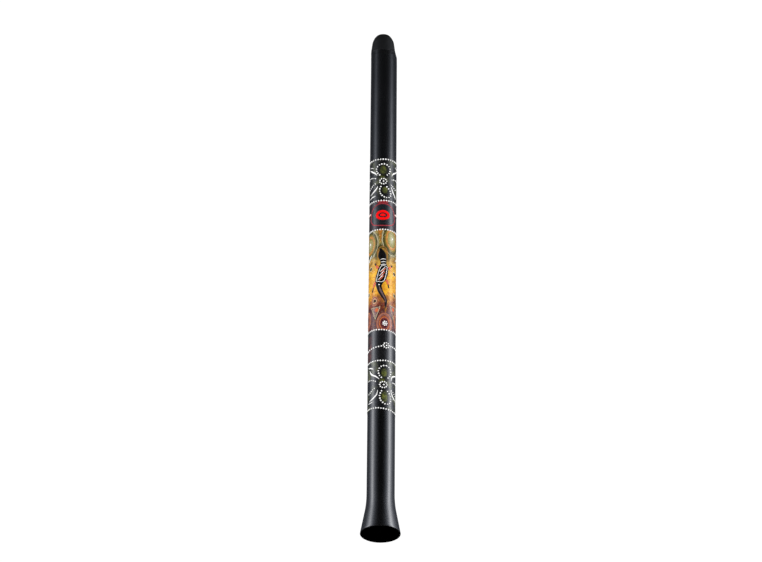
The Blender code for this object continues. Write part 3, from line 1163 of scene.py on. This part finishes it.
def make_lizard(black, white, red, grey):
    """A plain lizard climbing the painting: a tapering S-shaped body, four legs and striped bands."""
    body = Relief("lizard_body", black, "black_lacquer", 71)
    spine = (
        (-4.5, 723.5), (-2.5, 715), (-0.5, 704), (2, 693), (2.5, 683),
        (2.5, 673), (0, 657), (-5, 643), (-8, 632), (-7.5, 622),
        (-3, 609), (4, 596), (8.5, 586), (8, 573), (6, 563),
    )
    widths = (3, 12.5, 20, 16, 14.5, 23.5, 26.5, 25, 17.5, 13, 11.5, 9.5, 6.8, 3.6, 1)
    body.stroke(spine, widths, 0.55, crown=4.0, columns=10)
    legs = (
        ((-6.5, 667), (-12.5, 675), (-18, 685.5)),
        ((10.5, 670), (18, 674), (25.5, 682)),
        ((-13, 640), (-19.5, 631), (-25.5, 612)),
        ((4.5, 645), (11.5, 637), (16, 621)),
    )
    for leg in legs:
        body.stroke(leg, (5.5, 3.8, 3.6), 0.45, crown=3.0)
    body.finish()
    marks = Relief("lizard_white_marks", white, "white_dot_paint", 72)
    for height, around, half in ((695.0, 1.8, 6.4), (688.0, 2.4, 5.8), (681.0, 2.6, 6.8)):
        line = ((around - half, height - 1.2), (around, height + 0.4), (around + half, height - 0.4))
        marks.stroke(line, (0.9, 1.8, 0.9), 0.35, base=0.5)
    frame_line = ((-3.2, 675.5), (9.6, 675.5), (10.6, 668.0), (3.6, 638.5), (-11.5, 637.5), (-13.4, 643.0))
    marks.loop(frame_line, 1.2, 0.35, base=0.5, columns=4)
    bars = ((2.8, 666.8), (0.6, 656.6), (-1.6, 646.6))
    for around, height in bars:
        line = ((around - 8.4, height - 5.6), (around - 1.8, height + 1.6), (around + 3.4, height + 7.6))
        marks.stroke(line, (1.0, 1.5, 1.0), 0.35, base=0.5, columns=4)
    marks.dab(-7.5, 628.5, 1.9, 0.9, 0.05)
    marks.finish()
    stripes = Relief("lizard_red_bars", red, "painting_paint", 73)
    for around, height in bars:
        line = ((around - 5.6, height - 7.2), (around + 0.4, height - 0.4), (around + 5.4, height + 5.2))
        stripes.stroke(line, (1.4, 2.4, 1.4), 0.35, base=0.5, columns=4)
    for start, middle, end in legs:
        knee = [(a + b) / 2 for a, b in zip(start, middle)]
        shin = [middle[axis] + (end[axis] - middle[axis]) * 0.45 for axis in (0, 1)]
        stripes.stroke((knee, middle, shin), (5.4, 6.0, 3.0), 0.35, base=0.3, columns=4)
    stripes.finish()
    stripe = Relief("lizard_tail_stripe", grey, "painting_paint", 74)
    line = ((-7.0, 624.0), (-4.5, 615.0), (0.5, 604.0), (6.0, 592.0), (7.8, 582.0))
    stripe.stroke(line, (1.5, 5.0, 4.4, 2.8, 0.9), 0.25, base=0.5, columns=4)
    stripe.finish()


def make_decoration():
    white = thick_paint("white_dabs", (0.92, 0.92, 0.91), (0.82, 0.82, 0.79))
    cream = thick_paint("cream_dabs", (0.62, 0.56, 0.34), (0.5, 0.42, 0.2))
    orange = thick_paint("orange_dabs", (0.66, 0.22, 0.04), (0.48, 0.11, 0.02))
    rose = thick_paint("rose_dabs", (0.45, 0.22, 0.18), (0.32, 0.12, 0.1))
    black = thick_paint("black_paint", (0.0006, 0.0006, 0.0008), (0.003, 0.0028, 0.003), 1.3)
    red = thick_paint("badge_red", (0.3, 0.012, 0.022), (0.18, 0.006, 0.012))
    bright_red = thick_paint("emblem_red", (0.86, 0.0005, 0.0005), (0.66, 0.0004, 0.0004), 1.12)
    blush = thick_paint("blush_dabs", (0.88, 0.72, 0.66), (0.78, 0.46, 0.4))
    brick = thick_paint("brick_red", (0.62, 0.11, 0.035), (0.43, 0.05, 0.018))
    mauve = thick_paint("mauve_stripe", (0.15, 0.085, 0.09), (0.075, 0.04, 0.045))
    make_rings(white)
    make_flower_ring(white)
    for name, low, high, motif in (
        ("upper_motif", RING_OVER_BADGE, RING_TOP, UPPER_MOTIF),
        ("lower_motif", RING_BOTTOM, RING_OVER_LOWER, LOWER_MOTIF),
    ):
        paint = motif_paint(name + "_paint", motif["centres"], motif["middle"], motif["patches"])
        make_band(name + "_skin", low, high, paint, "motif_paint", name + "_band")
        make_motif(name, white, motif)
    for name, low, high, paint in (
        ("badge", RING_OVER_PAINTING, RING_OVER_BADGE, badge_paint()),
        ("painting", RING_UNDER_PAINTING, RING_OVER_PAINTING, painting_paint()),
        ("plain", RING_OVER_LOWER, RING_UNDER_PAINTING, plain_paint()),
    ):
        make_band(name + "_skin", low, high, paint, name + "_paint", name + "_band")
    make_badge(red, bright_red, blush)
    make_painting(cream, black, orange, white, rose)
    make_lizard(black, white, brick, mauve)


# ---------------------------------------------------------------- studio

WALL_DISTANCE = 1.0
WALL_LOW = -0.6
WALL_HIGH = 2.2
WALL_MIDDLE = 0.69
FLOOR_REACH = 60.0
FLOOR_HEIGHT = -0.0004
CAMERA_DISTANCE = 25.0
CAMERA_ELEVATION = -27.0
CAMERA_ROLL = 0.458
FRAME_WIDTH = 1.7755
AIM = Vector((-0.003, 0.0, 0.6539))


class Glow(Nodes):
    """The light of a wall or of the world."""

    fade = "LINEAR"

    def softbox(self, turn, height, azimuth, inner, outer, strength, full, faint):
        """A tall soft light: it fades to both sides, and from the height full up to faint."""
        side = math.copysign(1.0, azimuth)
        off = self.calc("SUBTRACT", turn, math.radians(azimuth))
        inward = self.calc("MULTIPLY", off, -side / math.radians(inner))
        outward = self.calc("MULTIPLY", off, side / math.radians(outer))
        away = self.calc("MAXIMUM", inward, outward)
        glow = self.calc("EXPONENT", self.calc("MULTIPLY", away, -1.0))
        return self.calc("MULTIPLY", glow, self.range(height, full, faint, strength, strength * 0.1))


def make_light_wall():
    """A round studio wall, seen in reflections only, with a tall soft light on each side."""
    steps = 96
    points, faces = [], []
    for step in range(steps):
        turn = 2.0 * math.pi * step / steps
        for height in (WALL_LOW, WALL_HIGH):
            points.append((WALL_DISTANCE * math.cos(turn), WALL_DISTANCE * math.sin(turn), height))
        here, there = 2 * step, 2 * ((step + 1) % steps)
        faces.append((here, there, there + 1, here + 1))
    mesh = bpy.data.meshes.new("light_wall")
    mesh.from_pydata(points, [], faces)
    wall = bpy.data.objects.new("light_wall", mesh)
    bpy.context.scene.collection.objects.link(wall)
    wall.visible_camera = False
    wall.visible_diffuse = False
    wall.visible_shadow = False
    material = bpy.data.materials.new("light_wall")
    material.use_nodes = True
    tree = material.node_tree
    tree.nodes.clear()
    glow = Glow(tree)
    across, along, height = glow.split("Object")
    turn = glow.calc("ARCTAN2", across, glow.calc("MULTIPLY", along, -1.0))
    right = glow.softbox(turn, height, 73.0, 11.7, 12.6, 13.6, 1.05, 1.7)
    left = glow.softbox(turn, height, -72.0, 12.5, 11.2, 10.2, 0.8, 1.72)
    boxes = glow.calc("ADD", right, left)
    level = glow.range(along, -0.3, 0.8, 0.05, 0.14)
    beside = glow.range(glow.calc("ABSOLUTE", turn), 0.25, 0.65)
    off_middle = glow.calc("ABSOLUTE", glow.calc("SUBTRACT", height, WALL_MIDDLE))
    above = glow.range(off_middle, 0.4, 0.8)
    shade = glow.calc("MAXIMUM", beside, above)
    strength = glow.calc("MULTIPLY", glow.calc("ADD", boxes, level), shade)
    tint = glow.blend(glow.range(boxes, 0.3, 6.0), (0.76, 0.83, 1.0), (0.93, 0.95, 1.0))
    light = glow.node("ShaderNodeEmission")
    glow.feed(light.inputs["Color"], tint)
    glow.feed(light.inputs["Strength"], strength)
    glow.feed(glow.node("ShaderNodeOutputMaterial").inputs[0], light.outputs[0])
    mesh.materials.append(material)


def make_floor():
    """A wide pale floor that is seen from above only, because the main view looks up past it."""
    signs = ((-1.0, -1.0), (1.0, -1.0), (1.0, 1.0), (-1.0, 1.0))
    corners = [(x * FLOOR_REACH, y * FLOOR_REACH, FLOOR_HEIGHT) for x, y in signs]
    mesh = bpy.data.meshes.new("floor")
    mesh.from_pydata(corners, [], [(0, 1, 2, 3)])
    floor = bpy.data.objects.new("floor", mesh)
    bpy.context.scene.collection.objects.link(floor)
    material = bpy.data.materials.new("floor")
    material.use_nodes = True
    tree = material.node_tree
    shader = tree.nodes["Principled BSDF"]
    shader.inputs["Base Color"].default_value = (0.56, 0.56, 0.56, 1.0)
    shader.inputs["Roughness"].default_value = 0.9
    shader.inputs["Specular IOR Level"].default_value = 0.0
    geometry = tree.nodes.new("ShaderNodeNewGeometry")
    clear = tree.nodes.new("ShaderNodeBsdfTransparent")
    mix = tree.nodes.new("ShaderNodeMixShader")
    tree.links.new(geometry.outputs["Backfacing"], mix.inputs[0])
    tree.links.new(shader.outputs[0], mix.inputs[1])
    tree.links.new(clear.outputs[0], mix.inputs[2])
    tree.links.new(mix.outputs[0], tree.nodes["Material Output"].inputs[0])
    mesh.materials.append(material)


def make_world():
    """White behind the main view, an even studio for diffuse light, and dim in reflections."""
    world = bpy.data.worlds.new("studio")
    bpy.context.scene.world = world
    world.use_nodes = True
    tree = world.node_tree
    tree.nodes.clear()
    glow = Glow(tree)
    path = tree.nodes.new("ShaderNodeLightPath")
    _, along, up = glow.split("Generated")

    def choose(switch, without, within):
        change = glow.calc("SUBTRACT", within, without)
        return glow.calc("ADD", without, glow.calc("MULTIPLY", switch, change))

    seen = glow.range(up, 0.05, 0.3, 0.895, 1.05)
    mirrored = glow.range(along, -0.3, 0.8, 0.05, 0.16)
    strength = choose(path.outputs["Is Glossy Ray"], 1.62, mirrored)
    strength = choose(path.outputs["Is Camera Ray"], strength, seen)
    background = tree.nodes.new("ShaderNodeBackground")
    background.inputs["Color"].default_value = (1.0, 1.0, 1.0, 1.0)
    tree.links.new(strength, background.inputs["Strength"])
    out = tree.nodes.new("ShaderNodeOutputWorld")
    tree.links.new(background.outputs[0], out.inputs[0])


def make_camera():
    """A long lens far below and in front, rolled a little, as the object is seen."""
    lens = bpy.data.cameras.new("camera")
    lens.sensor_width = 36.0
    lens.lens = lens.sensor_width * CAMERA_DISTANCE / FRAME_WIDTH
    lens.clip_end = 200.0
    camera = bpy.data.objects.new("camera", lens)
    bpy.context.scene.collection.objects.link(camera)
    tilt = math.radians(CAMERA_ELEVATION)
    back = Vector((0.0, -math.cos(tilt), math.sin(tilt)))
    camera.location = AIM + back * CAMERA_DISTANCE
    turn = (-back).to_track_quat("-Z", "Y")
    camera.rotation_mode = "QUATERNION"
    camera.rotation_quaternion = turn @ Quaternion((0.0, 0.0, 1.0), math.radians(CAMERA_ROLL))
    bpy.context.scene.camera = camera


def make_studio():
    bpy.context.scene.view_settings.view_transform = "Standard"
    make_light_wall()
    make_floor()
    make_world()
    make_camera()


make_pipe()
make_mouthpiece()
make_decoration()
make_studio()
